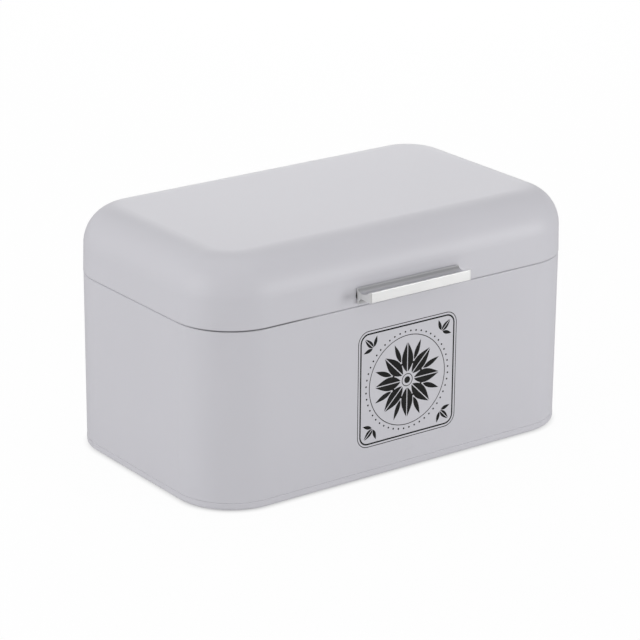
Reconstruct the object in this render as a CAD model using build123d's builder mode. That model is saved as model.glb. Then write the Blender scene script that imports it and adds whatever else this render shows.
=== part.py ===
"""Sheet-steel bread box: a rolled wall on a shallow pan, and a drawn lid hinged along the back.

Millimetres, +X right, +Y back, +Z up, with the origin on the counter under the middle of the whole
box, handle and hinges included.
"""
import os
from math import cos, radians, sin

from build123d import *

os.makedirs("parts", exist_ok=True)

# Box and sheet
box_width = 330.0  # wall to wall, left to right
box_depth = 199.0  # wall to wall, front to back
ledge_height = 133.3  # counter to the ledge that the lid closes on
plan_radius = 44.6  # upright corners, seen from above
sheet = 0.8  # steel sheet of wall, pan and lid
fit_gap = 0.05  # between pieces that are lapped, pinned or pressed together
overrun = 3.0  # how far a cut runs past the sheet that it goes through

# Ledge and neck at the top of the wall
ledge_bend = 1.2  # outside bend from wall to ledge
neck_height = 6.0  # ledge to the top of the neck inside the lid
lid_clearance = 0.8  # neck to the hem inside the lid
hem_height = 4.5  # turned-in edge of neck and lid
hem_round = 0.6

# Air holes between the hinges
vent_radius = 2.5
vent_pitch = 13.0
vent_count = 7
vent_drop = 16.0  # ledge to the row of holes

# Base pan and feet
foot_stand = 1.0  # gap between the counter and the pan's edge
flange_height = 5.6  # pan's edge, lapped outside the wall
flange_proud = 0.1  # flange outside the wall, which steps in behind it
lap_round = 0.15  # sheet edges where wall and flange meet
pan_bend = 2.2
panel_inset = 14.0  # wall to the raised middle of the floor
panel_rise = 2.0
panel_slope = 45.0  # degrees
foot_inset = 36.0  # wall to the middle of a foot
foot_radius = 7.0
foot_bevel = 0.8
stem_radius = 3.0
collar_radius = 4.6  # bead that holds the foot inside the floor
collar_height = 1.4
collar_bevel = 0.6

# Lid
lid_gap = 0.3  # ledge to the lid's rim
lid_height = 48.7  # rim to the flat top
lid_proud = 0.2  # rim outside the wall
lid_draft = 1.5  # degrees
lid_edge_radius = 28.6

# Handle: an aluminium bar with a leg at the lid, a web and a front lip
handle_length = 90.0
handle_lift = 2.6  # lid's rim to the bar's lower edge
bar_depth = 15.6
bar_height = 11.4
leg_thickness = 2.0
leg_drop = 4.6  # leg below the web
leg_round = 3.4
lip_thickness = 2.5
lip_drop = 3.8  # bar's lower edge to the lip's
lip_land = 1.2  # flat on top of the lip
leg_land = 0.6  # flat on top of the leg
scoop_depth = 3.1
scoop_run = 5.3  # bar's back to the bottom of the scoop
bar_round = 0.3
end_round = 1.2  # front corners, seen from above
pad_thickness = 0.8
pad_margin = 0.5  # pad inside the bar's back, above and below
pad_overhang = 0.5  # rounded ends of the pad past the bar

# Handle screws, from inside the lid
screw_radius = 1.5
screw_pitch = 64.0
screw_lift = 6.5  # bar's lower edge to the screws
screw_depth = 5.0  # length inside the bar
screw_end_gap = 1.0
screw_head_radius = 2.8
screw_head_height = 1.8
screw_head_bevel = 0.8
recess_length = 3.0
recess_width = 0.8
recess_depth = 1.0

# Hinges
hinge_spread = 190.0  # middle to middle
hinge_width = 36.0
leaf = 1.0  # thickness of the leaves
leaf_height = 17.0  # pin to a leaf's far edge
leaf_start = 3.6  # pin to the flat of a leaf
leaf_corner = 3.0
pin_radius = 1.5
pin_stand = 0.7  # pin past the knuckles
pin_bevel = 0.5
end_knuckle = 11.0
knuckle_gap = 0.3
knuckle_clearance = 0.45  # knuckle to the lid's rim
tongue_length = 6.0  # pin to the tip of the tongue that stops the open lid
tongue_thickness = 1.2
tongue_round = 0.4

# Rivets of the hinge leaves
rivet_radius = 1.6
rivet_spread = 20.0
rivet_drop = 11.0  # pin to the rivets
rivet_head_radius = 2.9
rivet_head_height = 1.2
rivet_head_bevel = 0.8
rivet_tail_radius = 2.4
rivet_tail_height = 0.9
rivet_tail_bevel = 0.4

# Worked-out places
neck_inset = 2 * sheet - lid_proud + lid_clearance
neck_top = ledge_height + neck_height
rim_height = ledge_height + lid_gap
hinge_height = ledge_height + lid_gap / 2
floor_top = foot_stand + sheet
wall_bottom = floor_top + pan_bend - sheet
lap_inset = sheet + fit_gap - flange_proud
lap_top = foot_stand + flange_height + fit_gap
panel_top = floor_top + panel_rise
bore_radius = pin_radius + fit_gap
knuckle_radius = bore_radius + leaf
pin_offset = knuckle_radius + lid_proud + knuckle_clearance
middle_knuckle = hinge_width - 2 * (end_knuckle + knuckle_gap)
bar_back = pad_thickness
bar_front = bar_back + bar_depth
handle_reach = lid_proud + bar_front
hinge_reach = pin_offset + tongue_length
box_center_y = (handle_reach - hinge_reach) / 2
wall_back_y = box_center_y + box_depth / 2


def level(height):
    """Horizontal plane through the middle of the box."""
    return Plane((0, box_center_y, height))


def plan_outline(inset, mode=Mode.ADD):
    """The box's outline from above, drawn in by inset."""
    RectangleRounded(box_width - 2 * inset, box_depth - 2 * inset, plan_radius - inset, mode=mode)


def skirt_face(side, x=0):
    """Plane on the lid's front (-1) or back (+1) skirt, from its rim: x across, y up, z outwards."""
    lean = radians(lid_draft)
    rim_y = box_center_y + side * (box_depth / 2 + lid_proud)
    return Plane((x, rim_y, rim_height), x_dir=(-side, 0, 0), z_dir=(0, side * cos(lean), sin(lean)))


def wall_face(x, height):
    """Plane on the back wall: x across, y up, z outwards."""
    return Plane((x, wall_back_y, height), x_dir=(-1, 0, 0), z_dir=(0, 1, 0))


def section(face, x=0):
    """Plane that cuts a face upright at x: its own x points outwards and its y up."""
    return Plane(face.from_local_coords((x, 0, 0)), x_dir=face.z_dir, z_dir=-face.x_dir)


def keep(piece, label):
    """Name a finished piece and write it."""
    piece.part.label = label
    export_step(piece.part, f"parts/{label}.step")


skirt_front = skirt_face(-1)
hinge_places = {"left": -hinge_spread / 2, "right": hinge_spread / 2}
rivet_spots = {
    "body": [(-rivet_spread / 2, -rivet_drop), (rivet_spread / 2, -rivet_drop)],
    "lid": [(-rivet_spread / 2, rivet_drop), (rivet_spread / 2, rivet_drop)],
}
screw_spots = [
    (-screw_pitch / 2, handle_lift + screw_lift),
    (screw_pitch / 2, handle_lift + screw_lift),
]

# Wall: one sheet that steps in behind the pan's flange and again at the ledge, with a hemmed neck
with BuildPart() as body_wall:
    with BuildSketch(level(lap_top)):
        plan_outline(0)
    extrude(amount=ledge_height - lap_top)
    fillet(body_wall.faces().sort_by(Axis.Z)[-1].edges(), ledge_bend)
    with BuildSketch(level(ledge_height)):
        plan_outline(neck_inset)
    extrude(amount=neck_height)
    ends = body_wall.faces().filter_by(Axis.Z).sort_by(Axis.Z)
    offset(amount=-sheet, openings=[ends[0], ends[-1]])
    with BuildSketch(level(wall_bottom)):
        plan_outline(lap_inset)
        plan_outline(lap_inset + sheet, mode=Mode.SUBTRACT)
    extrude(amount=lap_top + sheet - wall_bottom)
    lap_step = body_wall.faces().filter_by(Axis.Z).sort_by(Axis.Z)[1]
    fillet(lap_step.outer_wire().edges(), lap_round)
    with BuildSketch(level(neck_top)):
        plan_outline(neck_inset + sheet / 2)
        plan_outline(neck_inset + 2 * sheet, mode=Mode.SUBTRACT)
    extrude(amount=-hem_height)
    fillet(body_wall.faces().filter_by(Axis.Z).sort_by(Axis.Z)[-1].edges(), hem_round)
    for x in hinge_places.values():
        with BuildSketch(wall_face(x, hinge_height)):
            with Locations(*rivet_spots["body"]):
                Circle(rivet_radius + fit_gap)
        extrude(amount=-overrun, mode=Mode.SUBTRACT)
    with BuildSketch(wall_face(0, ledge_height - vent_drop)):
        with GridLocations(vent_pitch, vent_pitch, vent_count, 1):
            Circle(vent_radius)
    extrude(amount=-overrun, mode=Mode.SUBTRACT)
keep(body_wall, "body_wall")

# Pan: a shallow tray whose edge laps outside the wall, with a raised middle
with BuildPart() as base_pan:
    with BuildSketch(level(foot_stand)):
        plan_outline(-flange_proud)
    extrude(amount=flange_height)
    fillet(base_pan.faces().sort_by(Axis.Z)[0].edges(), pan_bend)
    offset(amount=-sheet, openings=base_pan.faces().sort_by(Axis.Z)[-1])
    fillet(base_pan.faces().sort_by(Axis.Z)[-1].outer_wire().edges(), lap_round)
    with BuildSketch(level(floor_top)):
        plan_outline(panel_inset)
    extrude(amount=panel_rise, taper=panel_slope)
    with BuildSketch(level(foot_stand)):
        plan_outline(panel_inset)
    extrude(amount=panel_rise, taper=panel_slope, mode=Mode.SUBTRACT)
    with BuildSketch(level(panel_top)):
        with GridLocations(box_width - 2 * foot_inset, box_depth - 2 * foot_inset, 2, 2):
            Circle(stem_radius + fit_gap)
    extrude(amount=-overrun, mode=Mode.SUBTRACT)
keep(base_pan, "base_pan")


def make_foot(x_side, y_side):
    """Rubber foot: a button under the floor, a stem through it and a bead above it."""
    x = x_side * (box_width / 2 - foot_inset)
    y = box_center_y + y_side * (box_depth / 2 - foot_inset)
    with BuildPart() as foot:
        with BuildSketch(Plane((x, y, 0))):
            Circle(foot_radius)
        extrude(amount=panel_top - sheet)
        chamfer(foot.faces().sort_by(Axis.Z)[0].edges(), foot_bevel)
        with BuildSketch(Plane((x, y, panel_top - sheet))):
            Circle(stem_radius)
        extrude(amount=sheet)
        with BuildSketch(Plane((x, y, panel_top))):
            Circle(collar_radius)
        extrude(amount=collar_height)
        chamfer(foot.faces().sort_by(Axis.Z)[-1].edges(), collar_bevel)
    return foot


for y_name, y_side in (("front", -1), ("rear", 1)):
    for x_name, x_side in (("left", -1), ("right", 1)):
        keep(make_foot(x_side, y_side), f"foot_{y_name}_{x_name}")

# Lid: drawn with a slight draft and a large top edge, hemmed at the rim
with BuildPart() as lid_shell:
    with BuildSketch(level(rim_height)):
        plan_outline(-lid_proud)
    extrude(amount=lid_height, taper=lid_draft)
    fillet(lid_shell.faces().sort_by(Axis.Z)[-1].edges(), lid_edge_radius)
    offset(amount=-sheet, openings=lid_shell.faces().sort_by(Axis.Z)[0])
    with BuildSketch(level(rim_height)):
        plan_outline(sheet / 2 - lid_proud)
        plan_outline(2 * sheet - lid_proud, mode=Mode.SUBTRACT)
    extrude(amount=hem_height)
    fillet(lid_shell.faces().sort_by(Axis.Z)[0].edges(), hem_round)
    for x in hinge_places.values():
        with BuildSketch(skirt_face(1, x)):
            with Locations(*rivet_spots["lid"]):
                Circle(rivet_radius + fit_gap)
        extrude(amount=-overrun, mode=Mode.SUBTRACT)
    with BuildSketch(skirt_front):
        with Locations(*screw_spots):
            Circle(screw_radius + fit_gap)
    extrude(amount=-overrun, mode=Mode.SUBTRACT)
keep(lid_shell, "lid_shell")

# Handle bar: one extruded section with a scoop along its top and a finger hold under its web
bar_bottom = handle_lift
bar_top = bar_bottom + bar_height
scoop_back = (bar_back + leg_land, bar_top)
scoop_front = (bar_front - lip_land, bar_top)
scoop_low = (bar_back + scoop_run, bar_top - scoop_depth)
finger_corner = (bar_back + leg_thickness, bar_bottom + leg_drop)
with BuildPart() as handle_bar:
    with BuildSketch(section(skirt_front)) as bar_section:
        with BuildLine():
            Polyline(
                scoop_back,
                (bar_back, bar_top),
                (bar_back, bar_bottom),
                (bar_back + leg_thickness, bar_bottom),
                finger_corner,
                (bar_front - lip_thickness, bar_bottom + lip_drop),
                (bar_front, bar_bottom + lip_drop),
                (bar_front, bar_top),
                scoop_front,
            )
            TangentArc(scoop_low, scoop_front, tangent=(1, 0))
            TangentArc(scoop_low, scoop_back, tangent=(-1, 0))
        make_face()
        inner = bar_section.vertices().sort_by_distance(finger_corner)[0]
        low = bar_section.vertices().sort_by_distance(scoop_low)[0]
        corners = [corner for corner in bar_section.vertices() if corner not in (inner, low)]
        fillet(corners, bar_round)
        fillet(bar_section.vertices().sort_by_distance(finger_corner)[0], leg_round)
    extrude(amount=handle_length / 2, both=True)
    with BuildSketch(Plane(skirt_front.origin, x_dir=(1, 0, 0), z_dir=skirt_front.y_dir)) as bar_plan:
        with Locations((0, -bar_back - bar_depth / 2)):
            Rectangle(handle_length, bar_depth)
        fillet(bar_plan.vertices().group_by(Axis.Y)[0], end_round)
    extrude(amount=bar_top, mode=Mode.INTERSECT)
    with BuildSketch(skirt_front.offset(bar_back)):
        with Locations(*screw_spots):
            Circle(screw_radius + fit_gap)
    extrude(amount=screw_depth + screw_end_gap, mode=Mode.SUBTRACT)
keep(handle_bar, "handle_bar")

# Pad between the bar and the lid, with half-round ends
with BuildPart() as handle_pad:
    with BuildSketch(skirt_front):
        with Locations((0, bar_bottom + bar_height / 2)):
            SlotOverall(handle_length + 2 * pad_overhang, bar_height - 2 * pad_margin)
        with Locations(*screw_spots):
            Circle(screw_radius + fit_gap, mode=Mode.SUBTRACT)
    extrude(amount=pad_thickness)
keep(handle_pad, "handle_pad")

# Screws: pan heads inside the lid, with crossed recesses
with BuildPart() as handle_screws:
    with BuildSketch(skirt_front.offset(-sheet)):
        with Locations(*screw_spots):
            Circle(screw_head_radius)
    extrude(amount=-screw_head_height)
    chamfer(handle_screws.faces().sort_by(Axis.Y)[-2:].edges(), screw_head_bevel)
    with BuildSketch(skirt_front.offset(-sheet)):
        with Locations(*screw_spots):
            Circle(screw_radius)
    extrude(amount=sheet + pad_thickness + screw_depth)
    with BuildSketch(skirt_front.offset(-sheet - screw_head_height)):
        with Locations(*screw_spots):
            Rectangle(recess_length, recess_width)
            Rectangle(recess_width, recess_length)
    extrude(amount=recess_depth, mode=Mode.SUBTRACT)
keep(handle_screws, "handle_screws")


def knuckle_section(face, pin_place, flat_start, x, tongue=0):
    """Section of a rolled knuckle: a cranked strip from the flat, a ring and perhaps a tongue."""
    with BuildSketch(section(face, x)) as knuckle:
        with BuildLine():
            Polyline(
                (0, flat_start),
                (leaf, flat_start),
                (pin_place.X - bore_radius, pin_place.Y),
                (pin_place.X - knuckle_radius, pin_place.Y),
                close=True,
            )
        make_face()
        with Locations((pin_place.X, pin_place.Y)):
            Circle(knuckle_radius)
        if tongue:
            with Locations((pin_place.X + tongue / 2, pin_place.Y)):
                RectangleRounded(tongue, tongue_thickness, tongue_round)
        with Locations((pin_place.X, pin_place.Y)):
            Circle(bore_radius, mode=Mode.SUBTRACT)
    return knuckle.sketch


def leaf_flat(face, owner, way):
    """Outline of a leaf's flat plate with its rivet holes, above (+1) or below (-1) the pin."""
    flat_height = leaf_height - leaf_start
    with BuildSketch(face) as flat:
        with Locations((0, way * (leaf_start + flat_height / 2))):
            Rectangle(hinge_width, flat_height)
        far_corners = flat.vertices().sort_by(Axis.Y, reverse=way > 0)[:2]
        fillet(far_corners, leaf_corner)
        with Locations(*rivet_spots[owner]):
            Circle(rivet_radius + fit_gap, mode=Mode.SUBTRACT)
    return flat.sketch


def make_body_leaf(x):
    """Leaf on the back wall, with the two outer knuckles."""
    face = wall_face(x, hinge_height)
    pin_place = Vector(pin_offset, 0)
    with BuildPart() as body_leaf:
        extrude(leaf_flat(face, "body", -1), amount=leaf)
        for side in (-1, 1):
            knuckle_x = side * (hinge_width - end_knuckle) / 2
            knuckle = knuckle_section(face, pin_place, -leaf_start, knuckle_x)
            extrude(knuckle, amount=end_knuckle / 2, both=True)
    return body_leaf


def make_lid_leaf(x):
    """Leaf on the lid, with the middle knuckle and its stop tongue."""
    face = skirt_face(1, x)
    pin_place = section(face).to_local_coords(Vector(x, wall_back_y + pin_offset, hinge_height))
    with BuildPart() as lid_leaf:
        extrude(leaf_flat(face, "lid", 1), amount=leaf)
        knuckle = knuckle_section(face, pin_place, leaf_start, 0, tongue_length)
        extrude(knuckle, amount=middle_knuckle / 2, both=True)
    return lid_leaf


def make_pin(x):
    """Hinge pin with bevelled ends."""
    with BuildPart() as pin:
        with BuildSketch(section(wall_face(x, hinge_height))):
            with Locations((pin_offset, 0)):
                Circle(pin_radius)
        extrude(amount=hinge_width / 2 + pin_stand, both=True)
        chamfer(pin.edges().filter_by(GeomType.CIRCLE), pin_bevel)
    return pin


def make_rivets(face, owner):
    """The two rivets of a leaf: button heads outside, shanks, and flat tails inside the sheet."""
    outward = Axis(face.origin, face.z_dir)
    with BuildPart() as rivets:
        with BuildSketch(face.offset(leaf)):
            with Locations(*rivet_spots[owner]):
                Circle(rivet_head_radius)
        extrude(amount=rivet_head_height)
        chamfer(rivets.faces().sort_by(outward)[-2:].edges(), rivet_head_bevel)
        with BuildSketch(face.offset(leaf)):
            with Locations(*rivet_spots[owner]):
                Circle(rivet_radius)
        extrude(amount=-leaf - sheet)
        with BuildSketch(face.offset(-sheet)):
            with Locations(*rivet_spots[owner]):
                Circle(rivet_tail_radius)
        extrude(amount=-rivet_tail_height)
        chamfer(rivets.faces().sort_by(outward)[:2].edges(), rivet_tail_bevel)
    return rivets


for side, x in hinge_places.items():
    keep(make_body_leaf(x), f"hinge_{side}_body_leaf")
    keep(make_lid_leaf(x), f"hinge_{side}_lid_leaf")
    keep(make_pin(x), f"hinge_{side}_pin")
    keep(make_rivets(wall_face(x, hinge_height), "body"), f"hinge_{side}_body_rivets")
    keep(make_rivets(skirt_face(1, x), "lid"), f"hinge_{side}_lid_rivets")
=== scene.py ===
"""Looks of the sheet-steel bread box: powder coat, satin aluminium, plated hinges, rubber and print.

Metres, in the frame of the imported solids: +X right, +Y back, +Z up, standing on z = 0.
"""
import math

import bmesh
import bpy
import numpy as np
from mathutils import Matrix, Vector


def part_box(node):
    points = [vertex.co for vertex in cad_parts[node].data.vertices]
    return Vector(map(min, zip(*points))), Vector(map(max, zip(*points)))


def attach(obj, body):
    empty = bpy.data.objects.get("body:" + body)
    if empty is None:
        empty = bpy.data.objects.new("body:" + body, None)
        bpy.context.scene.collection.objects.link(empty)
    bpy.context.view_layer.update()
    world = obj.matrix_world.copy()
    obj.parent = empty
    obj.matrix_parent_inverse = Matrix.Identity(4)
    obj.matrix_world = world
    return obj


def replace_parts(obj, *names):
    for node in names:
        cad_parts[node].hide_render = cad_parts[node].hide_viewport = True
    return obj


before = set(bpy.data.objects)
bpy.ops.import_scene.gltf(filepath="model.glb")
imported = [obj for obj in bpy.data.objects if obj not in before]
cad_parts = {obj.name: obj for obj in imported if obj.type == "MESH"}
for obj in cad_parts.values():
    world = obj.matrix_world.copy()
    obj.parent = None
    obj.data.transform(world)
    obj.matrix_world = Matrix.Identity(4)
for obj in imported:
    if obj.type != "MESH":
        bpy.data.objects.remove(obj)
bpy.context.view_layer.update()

mm = 0.001
turn = 2 * np.pi


# Shader expressions

class Field:
    """A socket that takes part in expressions: every operator adds one Math node to its tree."""

    def __init__(self, finish, socket):
        self.finish = finish
        self.socket = socket

    def output(self, name):
        """Another output of the same node."""
        return Field(self.finish, self.socket.node.outputs[name])

    def maths(self, operation, *terms):
        """A Math node on fields and numbers."""
        return self.finish.node("ShaderNodeMath", {"operation": operation}, dict(enumerate(terms)))

    def __add__(self, other):
        return self.maths("ADD", self, other)

    def __sub__(self, other):
        return self.maths("SUBTRACT", self, other)

    def __rsub__(self, other):
        return self.maths("SUBTRACT", other, self)

    def __mul__(self, other):
        return self.maths("MULTIPLY", self, other)

    def __abs__(self):
        return self.maths("ABSOLUTE", self)

    __radd__ = __add__
    __rmul__ = __mul__


class Finish:
    """A node tree under construction, for a material or the world."""

    def __init__(self, owner):
        owner.use_nodes = True
        self.owner = owner
        self.tree = owner.node_tree

    def node(self, kind, settings=None, sockets=None):
        """Add a node: its settings are set first, then its sockets take numbers, colours or links."""
        made = self.tree.nodes.new(kind)
        for name, setting in (settings or {}).items():
            setattr(made, name, setting)
        self.fill(made, sockets or {})
        shown = [socket for socket in made.outputs if socket.enabled]
        return Field(self, shown[0]) if shown else made

    def fill(self, made, sockets):
        """Give a node's sockets, named or numbered, their constants or links."""
        open_sockets = [socket for socket in made.inputs if socket.enabled]
        by_name = {socket.name: socket for socket in reversed(open_sockets)}
        for key, given in sockets.items():
            socket = open_sockets[key] if isinstance(key, int) else by_name[key]
            if isinstance(given, Field):
                self.tree.links.new(given.socket, socket)
            else:
                socket.default_value = given

    def place(self):
        """Object coordinates, which are the model's own metres."""
        return self.node("ShaderNodeTexCoord").output("Object")

    def part(self, place, axis):
        """One coordinate of a place, in metres."""
        return self.node("ShaderNodeSeparateXYZ", {}, {"Vector": place}).output(axis)

    def stretched(self, place, scale):
        """A place multiplied axis by axis, so that a pattern runs along one of them."""
        return self.vector("MULTIPLY", place, scale)

    def vector(self, operation, *terms):
        """Vector maths on places, or a length."""
        return self.node("ShaderNodeVectorMath", {"operation": operation}, dict(enumerate(terms)))

    def noise(self, place, size, detail=2.0):
        """Smooth noise from 0 to 1 whose features are about size metres across."""
        sockets = {"Vector": place, "Scale": 1 / size, "Detail": detail}
        return self.node("ShaderNodeTexNoise", {}, sockets)

    def cells(self, place, size, feature="F1"):
        """Distance to the nearest of scattered points that lie about size metres apart, in cells."""
        sockets = {"Vector": place, "Scale": 1 / size}
        return self.node("ShaderNodeTexVoronoi", {"feature": feature}, sockets)

    def ramp(self, value, low, high):
        """0 below low, 1 above high and a smooth step between."""
        sockets = {"Value": value, "From Min": low, "From Max": high}
        return self.node("ShaderNodeMapRange", {"interpolation_type": "SMOOTHSTEP"}, sockets)

    def blend(self, share, first, second):
        """The first colour where share is 0 and the second where it is 1."""
        sockets = {"Factor": share, "A": first, "B": second}
        return self.node("ShaderNodeMix", {"data_type": "RGBA"}, sockets)

    def bump(self, height, depth):
        """Normal of a surface whose height, from 0 to 1, stands depth metres high."""
        return self.node("ShaderNodeBump", {}, {"Height": height, "Distance": depth, "Strength": 1.0})

    def rays(self):
        """Masks for the rays of the camera, and for rays mirrored or let through before any matt bounce."""
        path = self.node("ShaderNodeLightPath")
        first = 1 - self.ramp(path.output("Diffuse Depth"), 0, 1)
        glossy = path.output("Is Glossy Ray") + path.output("Is Transmission Ray")
        return path.output("Is Camera Ray"), first * glossy


def make_finish(name):
    """A new material, with its Principled shader in finish.shader."""
    finish = Finish(bpy.data.materials.new(name))
    finish.shader = finish.tree.nodes["Principled BSDF"]
    return finish


def colour(red, green, blue):
    """An opaque colour from linear values."""
    return (red, green, blue, 1.0)


def grey(tone):
    """An opaque neutral colour."""
    return colour(tone, tone, tone)


# Sizes of the solids and places on them

sheet, plan_radius, hold_height = 0.8 * mm, 44.6 * mm, 4.7 * mm
lid_draft = math.radians(1.5)
wall_low, wall_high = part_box("body_wall")
lid_low, lid_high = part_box("lid_shell")
bar_low, bar_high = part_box("handle_bar")
rim = lid_low.z
hold_top = bar_low.z + hold_height
# Place near the front corner round which the parting gap is given painted shade.
gap_shade_corner = (wall_low.x + 0.8 * plan_radius, wall_low.y + 0.1 * plan_radius, rim)


def from_outline(finish, place):
    """Metres in plan from the box's rounded outline, negative inside it."""
    middle = (wall_low + wall_high) / 2
    straight = (wall_high - wall_low) / 2
    reach = finish.vector("SUBTRACT", place, (middle.x, middle.y, 0))
    reach = finish.vector("ABSOLUTE", reach)
    past = finish.vector("SUBTRACT", reach, (straight.x - plan_radius, straight.y - plan_radius, 0))
    past = finish.vector("MAXIMUM", past, (0, 0, 0))
    level = finish.stretched(past, (1, 1, 0))
    return finish.vector("LENGTH", level) - plan_radius


def powder_coat():
    """Pale lavender-grey powder coat: orange peel, pinholes, faint clouds, thinner at the rims.

    At the near corner the outer edges of the rims are darkened: painted shade in the parting gap, where it
    looks darkest.
    """
    coat = make_finish("powder_coat")
    pale, paler = colour(0.585, 0.579, 0.618), colour(0.610, 0.604, 0.644)
    thin_tone, pinhole_tone = colour(0.42, 0.42, 0.44), colour(0.45, 0.445, 0.47)
    # Dark tone of the painted shade in the parting gap at the near corner.
    gap_shade_tone = colour(0.14, 0.14, 0.15)
    peel_depth = 0.012 * mm
    place = coat.place()
    peel = coat.noise(place, 1.6 * mm, 1.0)
    grit = coat.noise(place, 0.35 * mm)
    cloud = coat.noise(place, 70 * mm, 3.0)
    pinhole = 1 - coat.ramp(coat.cells(place, 9 * mm), 0.02, 0.05)
    from_rim = abs(coat.part(place, "Z") - rim)
    edge = 1 - coat.ramp(from_rim, 0.5 * mm, 1.6 * mm)
    thin = edge * coat.ramp(grit, 0.35, 0.65)
    # Painted shade: the rims' outer edges, within a millimetre of the parting line, darkened round the near
    # corner.
    near_corner = 1 - coat.ramp(coat.vector("DISTANCE", place, gap_shade_corner), 25 * mm, 60 * mm)
    outside = coat.ramp(from_outline(coat, place), -1.3 * mm, -0.9 * mm)
    rub_marks_and_gap_shade = near_corner * outside * (1 - coat.ramp(from_rim, 0.35 * mm, 0.8 * mm))
    wear_and_gap_shade = coat.blend(0.25 * thin, coat.blend(cloud, pale, paler), thin_tone)
    # Mixes the painted gap shade into the coat's colour.
    wear_and_gap_shade = coat.blend(0.85 * rub_marks_and_gap_shade, wear_and_gap_shade, gap_shade_tone)
    relief = 0.75 * peel + 0.25 * grit - 0.6 * pinhole
    coat.fill(coat.shader, {
        "Base Color": coat.blend(0.3 * pinhole, wear_and_gap_shade, pinhole_tone),
        "Roughness": 0.40 + 0.06 * cloud + 0.05 * grit - 0.08 * edge,
        "Normal": coat.bump(relief, peel_depth),
    })
    return coat.owner


def satin_aluminium():
    """Anodised aluminium: draw lines along the bar, a brushed front, sawn ends, and rougher hollows with
    painted shade.
    """
    metal = make_finish("satin_aluminium")
    # Colour of the finger hold: painted shade.
    hold_shade_tone = colour(0.56, 0.56, 0.565)
    groove_depth = 0.006 * mm
    place = metal.place()
    lines = metal.noise(metal.stretched(place, (0.012, 1.0, 1.0)), 0.3 * mm, 3.0)
    streaks = metal.noise(metal.stretched(place, (0.03, 1.0, 1.0)), 1.6 * mm)
    haze = metal.noise(place, 12 * mm)
    drawn = 0.6 * lines + 0.4 * streaks
    sawn_lines = metal.noise(metal.stretched(place, (1.0, 0.05, 1.0)), 0.25 * mm)
    sawn = metal.ramp(abs(metal.part(place, "X")), bar_high.x - 0.12 * mm, bar_high.x - 0.04 * mm)
    behind = metal.ramp(metal.part(place, "Y"), bar_low.y + 1.0 * mm, bar_low.y + 1.6 * mm)
    # The hollows and the finger hold are rougher, and their colour is darkened as painted shade.
    hollow = (1 - sawn) * behind
    hold = hollow * (1 - metal.ramp(metal.part(place, "Z"), hold_top, hold_top + 0.5 * mm))
    grooves = drawn + sawn * (sawn_lines - drawn)
    bright = metal.blend(drawn, colour(0.86, 0.86, 0.855), colour(0.945, 0.945, 0.94))
    # Darker colour in the hollows: painted shade.
    darker_tone = metal.blend(drawn, colour(0.60, 0.60, 0.62), colour(0.70, 0.70, 0.72))
    metal.fill(metal.shader, {
        "Base Color": metal.blend(hold, metal.blend(hollow, bright, darker_tone), hold_shade_tone),
        "Metallic": 1.0,
        "Roughness": 0.27 + 0.12 * lines + 0.06 * haze + 0.30 * sawn + 0.06 * hollow + 0.16 * hold,
        "Normal": metal.bump(grooves, groove_depth),
    })
    return metal.owner


def plated_steel():
    """Zinc plate on the hinges, pins, rivets and screws: spangled tone, rubbed and dulled in patches."""
    plate = make_finish("plated_steel")
    darker_tone, bright = colour(0.50, 0.51, 0.53), colour(0.68, 0.69, 0.70)
    rub_depth = 0.005 * mm
    place = plate.place()
    spangle = plate.cells(place, 2.2 * mm, "SMOOTH_F1")
    mottle = plate.noise(place, 3 * mm, 3.0)
    rub_marks_and_gap_shade = plate.noise(place, 0.4 * mm)
    plate.fill(plate.shader, {
        "Base Color": plate.blend(0.5 * mottle + 0.5 * spangle, darker_tone, bright),
        "Metallic": 1.0,
        "Roughness": 0.24 + 0.14 * mottle + 0.06 * rub_marks_and_gap_shade,
        "Normal": plate.bump(rub_marks_and_gap_shade, rub_depth),
    })
    return plate.owner


def black_rubber(name, tone, size):
    """Moulded rubber with a matt grain of the given size and a faint bloom."""
    rubber = make_finish(name)
    grain_depth = 0.03 * mm
    place = rubber.place()
    grain = rubber.noise(place, size)
    bloom = rubber.ramp(rubber.noise(place, 6 * mm, 3.0), 0.45, 0.75)
    body = rubber.blend(grain, grey(0.8 * tone), grey(1.2 * tone))
    rubber.fill(rubber.shader, {
        "Base Color": rubber.blend(0.3 * bloom, body, grey(2.5 * tone)),
        "Roughness": 0.60 + 0.14 * grain + 0.08 * bloom,
        "Normal": rubber.bump(grain, grain_depth),
    })
    return rubber.owner


def screen_ink():
    """Black screen ink: the mesh's fine grain, thinner and greyer in faint patches."""
    ink = make_finish("screen_ink")
    black, thin_black = grey(0.006), grey(0.014)
    grain_depth = 0.006 * mm
    place = ink.place()
    grain = ink.noise(place, 0.3 * mm)
    patch = ink.ramp(ink.noise(place, 9 * mm, 3.0), 0.4, 0.8)
    ink.fill(ink.shader, {
        "Base Color": ink.blend(patch, black, thin_black),
        "Roughness": 0.48 + 0.10 * grain + 0.06 * patch,
        "Specular IOR Level": 0.2,
        "Normal": ink.bump(grain, grain_depth),
    })
    return ink.owner


# Finishes on the solids

finishes = {
    "coated_steel": powder_coat(),
    "handle_aluminium": satin_aluminium(),
    "black_pad": black_rubber("pad_rubber", tone=0.012, size=0.5 * mm),
    "plated_steel": plated_steel(),
    "foot_rubber": black_rubber("foot_rubber", tone=0.02, size=0.4 * mm),
    "ink": screen_ink(),
}


def solid_slot(name):
    """The record's slot for a solid, told by its name."""
    if name.startswith("hinge") or name == "handle_screws":
        return "plated_steel"
    if name.startswith("foot"):
        return "foot_rubber"
    return {"handle_bar": "handle_aluminium", "handle_pad": "black_pad"}.get(name, "coated_steel")


for name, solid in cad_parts.items():
    solid.data.materials.clear()
    solid.data.materials.append(finishes[solid_slot(name)])


# Meshes from grids of points

weld_distance = 0.0005 * mm


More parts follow.
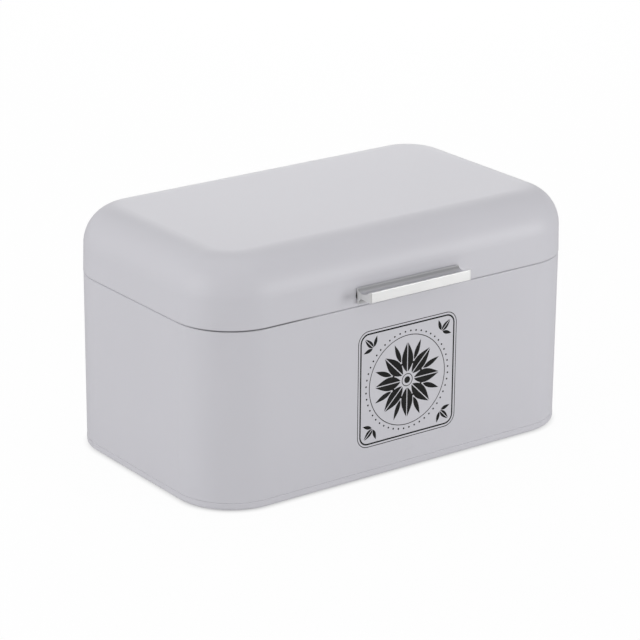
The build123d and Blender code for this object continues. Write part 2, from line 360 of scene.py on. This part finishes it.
def weave(grid, ring=False):
    """Quads over grids (copies, rows, columns, 3): the columns close up, and in a ring the rows too."""
    index = np.arange(grid[..., 0].size).reshape(grid.shape[:-1])
    across = np.roll(index, -1, axis=2)
    if ring:
        onward, both = np.roll(index, -1, axis=1), np.roll(across, -1, axis=1)
    else:
        onward, both = index[:, 1:], across[:, 1:]
        index, across = index[:, :-1], across[:, :-1]
    return np.stack([index, across, both, onward], axis=-1).reshape(-1, 4)


def make_piece(name, grids, finish, body, smooth_angle=35):
    """A piece of woven grids, given as (grid, ring) pairs: joined at poles and faced outwards."""
    form = bmesh.new()
    for grid, ring in grids:
        part = bpy.data.meshes.new(name)
        part.from_pydata(grid.reshape(-1, 3).tolist(), [], weave(grid, ring).tolist())
        form.from_mesh(part)
        bpy.data.meshes.remove(part)
    bmesh.ops.remove_doubles(form, verts=form.verts, dist=weld_distance)
    bmesh.ops.recalc_face_normals(form, faces=form.faces)
    mesh = bpy.data.meshes.new(name)
    form.to_mesh(mesh)
    form.free()
    mesh.shade_smooth()
    mesh.set_sharp_from_angle(angle=math.radians(smooth_angle))
    mesh.materials.append(finishes[finish])
    piece = bpy.data.objects.new(name, mesh)
    bpy.context.scene.collection.objects.link(piece)
    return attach(piece, body)


def arc(middle, radius, start, end, steps=8):
    """Points of an arc (radius out, height up) from one angle to another, in degrees."""
    angle = np.radians(np.linspace(start, end, steps))
    return np.stack([middle[0] + radius * np.cos(angle), middle[1] + radius * np.sin(angle)], axis=-1)


def turned(profile, columns=48):
    """A profile of (radius, height) points carried round its axis: a grid (rows, columns, 3).

    Each point goes to (radius * cos a, radius * sin a, height) for angles a of a whole turn.
    """
    angle = np.linspace(0, turn, columns, endpoint=False)
    radius, height = profile[:, :1], profile[:, 1:]
    return np.stack([radius * np.cos(angle), radius * np.sin(angle), height + 0 * angle], axis=-1)


def set_out(grid, places, outward):
    """Copies of a grid at several places, with its own z turned to point outward in the YZ plane."""
    out = np.array(outward, float)
    along = np.array((1.0, 0, 0))
    axes = np.stack([along, np.cross(out, along), out])
    return np.array(places, float)[:, None, None, :] + (grid @ axes)[None]


# Rivets, screws, pins and feet

leaf = 1.0 * mm
rivet_radius, head_radius, head_height = 1.6 * mm, 2.9 * mm, 1.2 * mm
tail_radius, tail_height, tail_dimple = 2.4 * mm, 0.9 * mm, 0.35 * mm
tail_round, dimple_rim, dimple_floor = 0.4 * mm, 0.7 * tail_radius, 0.3 * tail_radius
rivet_reach, rivet_drop = 10 * mm, 11 * mm
pin_round = 0.5 * mm
wall_out, lid_out = (0, 1, 0), (0, math.cos(lid_draft), math.sin(lid_draft))


def rivet_profile():
    """Button head, shank and clenched tail with a dimple, from the head's crown inwards."""
    angle = np.linspace(0, turn / 4, 10)
    button = np.stack([head_radius * np.sin(angle), leaf + head_height * np.cos(angle)], axis=-1)
    shank = [(rivet_radius, leaf), (rivet_radius, -sheet), (tail_radius, -sheet)]
    end = -sheet - tail_height
    tail = arc((tail_radius - tail_round, end + tail_round), tail_round, 0, -90, 5)
    dimple = [(dimple_rim, end), (dimple_floor, end + tail_dimple), (0, end + tail_dimple)]
    return np.concatenate([button, shank, tail, dimple])


def make_hinge_fittings(side):
    """Rivets and pin of one hinge."""
    pin_low, pin_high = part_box(f"hinge_{side}_pin")
    middle = (pin_low + pin_high) / 2
    across = (middle.x - rivet_reach, middle.x + rivet_reach)
    rivet = turned(rivet_profile())
    on_wall = [(x, wall_high.y, middle.z - rivet_drop) for x in across]
    lean = rivet_drop * math.sin(lid_draft)
    on_lid = [(x, lid_high.y - lean, rim + rivet_drop * math.cos(lid_draft)) for x in across]
    for owner, places, outward in (("body", on_wall, wall_out), ("lid", on_lid, lid_out)):
        node = f"hinge_{side}_{owner}_rivets"
        pair = set_out(rivet, places, outward)
        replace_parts(make_piece(f"{node}_domed", [(pair, False)], "plated_steel", owner), node)
    radius = (pin_high.z - pin_low.z) / 2
    length = pin_high.x - pin_low.x
    round_end = arc((radius - pin_round, length / 2 - pin_round), pin_round, 0, 90, 6)
    upper = np.concatenate([round_end, [(0, length / 2)]])
    profile = np.concatenate([upper[::-1], upper * (1, -1)])
    rod = turned(profile)[None][..., (2, 0, 1)] + np.array(middle)
    pin = make_piece(f"hinge_{side}_pin_rounded", [(rod, False)], "plated_steel", "body")
    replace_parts(pin, f"hinge_{side}_pin")


def make_screws():
    """Pan-headed screws inside the lid: a domed head whose height falls by the depth of a crossed recess.

    Across the head the height is a flat dome; inside the cross, told by the distances to its two
    centre lines, a smooth step takes the recess depth off it.
    """
    crown, screw_head, dome_power = 1.8 * mm, 2.8 * mm, 3.2
    shank, inside, lift = 1.5 * mm, 5.1 * mm, 9.1 * mm
    recess, slot_half, slot_reach, slope = 1.0 * mm, 0.42 * mm, 1.5 * mm, 0.25 * mm
    dome_rows, columns = 40, 96
    share = np.linspace(0, 1, dome_rows)
    dome = np.stack([screw_head * share, crown * (1 - share ** dome_power)], axis=-1)
    profile = np.concatenate([dome, [(shank, 0), (shank, -inside), (0, -inside - shank)]])
    grid = turned(profile, columns)
    x, y = np.abs(grid[..., 0]), np.abs(grid[..., 1])
    walls = np.minimum(slot_half - np.minimum(x, y), slot_reach - np.maximum(x, y)) / slope
    step = np.clip(0.5 + walls, 0, 1)
    on_head = (np.arange(len(profile)) < len(dome))[:, None]
    grid[..., 2] -= on_head * recess * step ** 2 * (3 - 2 * step)
    low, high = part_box("handle_screws")
    spread = (high.x - low.x) / 2 - screw_head
    seat = Vector((0, lid_low.y, rim)) + lift * Vector((0, math.sin(lid_draft), math.cos(lid_draft)))
    inward = Vector((0, math.cos(lid_draft), -math.sin(lid_draft)))
    seat += sheet * inward
    places = [(x, seat.y, seat.z) for x in (-spread, spread)]
    screws = make_piece("handle_screws_crossed", [(set_out(grid, places, inward), False)],
                        "plated_steel", "lid", smooth_angle=50)
    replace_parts(screws, "handle_screws")


def make_foot(node):
    """Rubber foot: a dished button with a rolled edge, a stem through the pan and a bead above it."""
    low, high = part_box(node)
    radius = (high.x - low.x) / 2
    seat, pan = 3.0 * mm, 3.8 * mm
    stem, bead = 3.0 * mm, 4.6 * mm
    dish, dish_radius, slope_width, slope_middle = 0.5 * mm, 4.6 * mm, 1.2 * mm, 0.5 * mm
    roll, shoulder_round, bead_round = 1.1 * mm, 0.4 * mm, 0.7 * mm
    slope = [(dish_radius - slope_width, dish), (dish_radius - slope_middle, 0.6 * dish), (dish_radius, 0)]
    edge = arc((radius - roll, roll), roll, -90, 0)
    shoulder = arc((radius - shoulder_round, seat - shoulder_round), shoulder_round, 0, 90, 5)
    top = arc((bead - bead_round, high.z - bead_round), bead_round, 0, 90, 6)
    neck = [(stem, seat), (stem, pan), (bead, pan)]
    profile = np.concatenate([[(0, dish)], slope, edge, shoulder, neck, top, [(0, high.z)]])
    button = turned(profile)[None] + np.array(((low.x + high.x) / 2, (low.y + high.y) / 2, 0))
    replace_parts(make_piece(f"{node}_dished", [(button, False)], "foot_rubber", "body"), node)


for side in ("left", "right"):
    make_hinge_fittings(side)
make_screws()
for row in ("front", "rear"):
    for side in ("left", "right"):
        make_foot(f"foot_{row}_{side}")


# Print on the front wall: a plain double frame, a leaf rosette and corner sprigs

film, film_power, tip_width = 0.05 * mm, 6, 0.2 * mm
film_columns, corner_columns, circle_columns = 9, 13, 160
leaf_rows, leaf_power, dot_rows = 29, 0.8, 17
print_middle = np.array((1.45 * mm, 68.9 * mm))
frame_half, frame_corner = 44.0 * mm, 9.0 * mm
frame_spacing = 2.2 * mm
thin_line, heavy_line = 0.6 * mm, 1.2 * mm
ring_radius, eye_radius = 34.0 * mm, 4.6 * mm
petal_count, gap_dot_radius = 8, 13.4 * mm
ring_dot_count, ring_dot_radius = 48, 37.0 * mm
sprig_radius, sprig_spread = 43.0 * mm, math.radians(62)


def ink_film(spine, side, half_width):
    """Ink films along flat curves: a grid (copies, rows, columns, 3) on the front wall.

    A point lies at spine + side * half_width * cos v, for v from 0 to half a turn, and stands off the
    wall by film * (1 - cos v ** film_power), less where the film narrows to a tip. The back is the wall.
    """
    across = np.cos(np.linspace(0, turn / 2, film_columns))
    flat = spine[..., None, :] + (side * half_width[..., None])[..., None, :] * across[:, None]
    narrow = np.minimum(1, half_width / tip_width)[..., None]
    rise = film * narrow * (1 - across ** film_power)
    flat = flat + print_middle
    return np.stack([flat[..., 0], wall_low.y - rise, flat[..., 1]], axis=-1)


def rounded_square(half, corner, line):
    """A line round a square: each corner is a quarter circle, and the sides join the corners' ends."""
    quarter = np.arange(4)[:, None] + np.linspace(0, 1, corner_columns)
    angle = (quarter * turn / 4).reshape(1, -1)
    side = np.stack([np.cos(angle), np.sin(angle)], axis=-1)
    diagonal = (np.arange(4) + 0.5) * turn / 4
    middle = (half - corner) * math.sqrt(2) * np.stack([np.cos(diagonal), np.sin(diagonal)], axis=-1)
    spine = np.repeat(middle, corner_columns, axis=0)[None] + corner * side
    return ink_film(spine, side, np.full(angle.shape, line / 2))


def circle(radius, line):
    """A line round a circle."""
    angle = np.linspace(0, turn, circle_columns, endpoint=False)[None]
    side = np.stack([np.cos(angle), np.sin(angle)], axis=-1)
    return ink_film(radius * side, side, np.full(angle.shape, line / 2))


def leaves(roots, angles, start, end, width, rib=None):
    """Leaf shapes that point away from their roots, at angles from upright.

    Along a leaf, from s = 0 at its start to 1 at its end, the half width is width / 2 times
    sin(pi * s ** leaf_power). With a rib, each leaf is two halves, set apart by the rib's width.
    """
    share = (1 - np.cos(np.linspace(0, turn / 2, leaf_rows))) / 2
    half = width / 2 * np.abs(np.sin(np.pi * share ** leaf_power))
    angle = np.asarray(angles, float)[:, None, None]
    onward = np.concatenate([np.sin(angle), np.cos(angle)], axis=-1)
    side = np.concatenate([np.cos(angle), -np.sin(angle)], axis=-1) + 0 * share[None, :, None]
    spine = np.asarray(roots, float)[:, None, :] + (start + (end - start) * share)[None, :, None] * onward
    widths = half[None] + 0 * spine[..., 0]
    if rib is None:
        return [(ink_film(spine, side, widths), False)]
    halves = [spine + way * side * (rib + half)[None, :, None] / 2 for way in (-1, 1)]
    return [(ink_film(one, side, widths / 2), False) for one in halves]


def dots(places, radius):
    """Round dots: at radius * -cos v along the diameter, the half width is radius * sin v."""
    angle = np.linspace(0, turn / 2, dot_rows)
    along = np.stack([-radius * np.cos(angle), 0 * angle], axis=-1)
    spine = np.asarray(places, float)[:, None, :] + along[None]
    side = np.broadcast_to(np.array((0.0, 1.0)), spine.shape)
    return [(ink_film(spine, side, np.broadcast_to(radius * np.sin(angle), spine.shape[:2])), False)]


def round_places(count, radius, offset=0.0):
    """Evenly spaced angles from upright, and the points at a radius on them."""
    angles = (np.arange(count) + offset) * turn / count
    return angles, radius * np.stack([np.sin(angles), np.cos(angles)], axis=-1)


def make_print():
    """Frame lines, rosette and corner sprigs in one black ink."""
    lines = [
        (rounded_square(frame_half, frame_corner, thin_line), True),
        (rounded_square(frame_half - frame_spacing, frame_corner - frame_spacing, heavy_line), True),
        (circle(ring_radius, thin_line), True),
        (circle(eye_radius, thin_line), True),
    ]
    make_piece("front_print_lines", lines, "ink", "body")
    middle = np.zeros((petal_count, 2))
    petal_angles, _ = round_places(petal_count, 0)
    gap_angles, gap_dots = round_places(petal_count, gap_dot_radius, 0.5)
    _, ring_dots = round_places(ring_dot_count, ring_dot_radius, 0.5)
    rosette = leaves(middle, petal_angles, start=6.2 * mm, end=28.5 * mm, width=9.6 * mm, rib=0.7 * mm)
    rosette += leaves(middle, gap_angles, start=15.5 * mm, end=31.0 * mm, width=3.8 * mm)
    rosette += dots(gap_dots, radius=0.9 * mm)
    rosette += dots(ring_dots, radius=0.7 * mm)
    rosette += dots([(0, 0)], radius=2.6 * mm)
    make_piece("front_print_rosette", rosette, "ink", "body")
    corner_angles, corners = round_places(4, sprig_radius, 0.5)
    sprigs = leaves(corners, corner_angles, start=0.5 * mm, end=11.0 * mm, width=3.8 * mm, rib=0.5 * mm)
    for lean in (-sprig_spread, sprig_spread):
        sprigs += leaves(corners, corner_angles + lean, start=1.2 * mm, end=9.5 * mm, width=2.8 * mm)
    make_piece("front_print_sprigs", sprigs, "ink", "body")


make_print()


# Camera, as the photograph was taken

lens = 154.05
azimuth, elevation, roll = math.radians(-36.387), math.radians(19.736), math.radians(0.461)
distance = 2.0246
aim = Vector((-3.28 * mm, 3.43 * mm, 86.01 * mm))

back = Vector((math.sin(azimuth) * math.cos(elevation), -math.cos(azimuth) * math.cos(elevation),
               math.sin(elevation)))
level_right = Vector((math.cos(azimuth), math.sin(azimuth), 0))
level_up = back.cross(level_right)
right = level_right * math.cos(roll) + level_up * math.sin(roll)
up = level_up * math.cos(roll) - level_right * math.sin(roll)
camera = bpy.data.objects.new("camera", bpy.data.cameras.new("camera"))
camera.data.lens = lens
camera.data.sensor_width = 36
camera.data.clip_end = 50
axes = Matrix((right, up, back)).transposed()
camera.matrix_world = Matrix.Translation(aim + back * distance) @ axes.to_4x4()
bpy.context.scene.collection.objects.link(camera)
bpy.context.scene.camera = camera


# Floor and light

lamp_aim = Vector((0, 0, 0.09))
paper_shadow = (-8.5 * mm, 4 * mm)


def white_room(lit, back, dim):
    """A white room with a dimmer ceiling, whose light has the level lit.

    Mirrors see its back wall at the level back and the rest at dim, and the camera sees it white.
    """
    world = bpy.data.worlds.new("white_room")
    bpy.context.scene.world = world
    room = Finish(world)
    way = room.node("ShaderNodeTexCoord").output("Generated")
    ceiling = room.ramp(room.part(way, "Z"), 0.25, 0.8)
    back_wall = room.ramp(room.part(way, "Y"), 0.0, 0.5) * (1 - ceiling)
    camera_rays, glossy = room.rays()
    lights = lit * (1 - 0.5 * ceiling)
    level = lights + glossy * (dim + (back - dim) * back_wall - lights)
    shown = level + camera_rays * (1 - level)
    room.fill(room.tree.nodes["Background"], {"Color": shown, "Strength": 1.0})


def softbox(name, place, size, watts):
    """A square area lamp that faces the box, out of the camera's sight."""
    lamp = bpy.data.lights.new(name, "AREA")
    lamp.shape = "SQUARE"
    lamp.size = size
    lamp.energy = watts
    holder = bpy.data.objects.new(name, lamp)
    holder.location = place
    holder.rotation_euler = (lamp_aim - Vector(place)).to_track_quat("-Z", "Y").to_euler()
    holder.visible_camera = False
    bpy.context.scene.collection.objects.link(holder)


def pale_floor(half_width, glow, mirrored, tone, lit):
    """A white floor, lit a little from below, that glows when looked at or mirrored.

    Close round the box, in its shadow, it shows its own tone instead.
    """
    corners = half_width * np.array([(-1, -1, 0), (1, -1, 0), (1, 1, 0), (-1, 1, 0)], float)
    mesh = bpy.data.meshes.new("floor")
    mesh.from_pydata(corners.tolist(), [], [(0, 1, 2, 3)])
    floor = bpy.data.objects.new("floor", mesh)
    bpy.context.scene.collection.objects.link(floor)
    paper = make_finish("white_paper")
    clear = paper.ramp(from_outline(paper, paper.place()), *paper_shadow)
    camera_rays, glossy_rays = paper.rays()
    looked, glossy = clear * camera_rays, clear * glossy_rays
    glow_base = paper.blend(glossy, grey(1 - glow), grey(0))
    glow_tone = paper.blend(glossy, grey(glow), grey(mirrored))
    paper.fill(paper.shader, {
        "Base Color": paper.blend(looked + glossy, grey(tone), glow_base),
        "Roughness": 1.0,
        "Specular IOR Level": 0.0,
        "Emission Color": paper.blend(looked + glossy, grey(lit), glow_tone),
        "Emission Strength": 1.0,
    })
    mesh.materials.append(paper.owner)


white_room(lit=0.79, back=0.54, dim=0.3)
pale_floor(half_width=30.0, glow=0.95, mirrored=0.46, tone=0.6, lit=0.16)
softbox("top_softbox", place=(0, 0.2, 1.6), size=1.4, watts=5.6)
softbox("back_softbox", place=(1.0, 1.35, 0.7), size=1.0, watts=4.8)
softbox("left_softbox", place=(-1.6, 0, 0.6), size=1.5, watts=10.0)
softbox("front_softbox", place=(1.0, -1.4, 0.3), size=0.6, watts=8.3)
bpy.context.scene.view_settings.view_transform = "Standard"
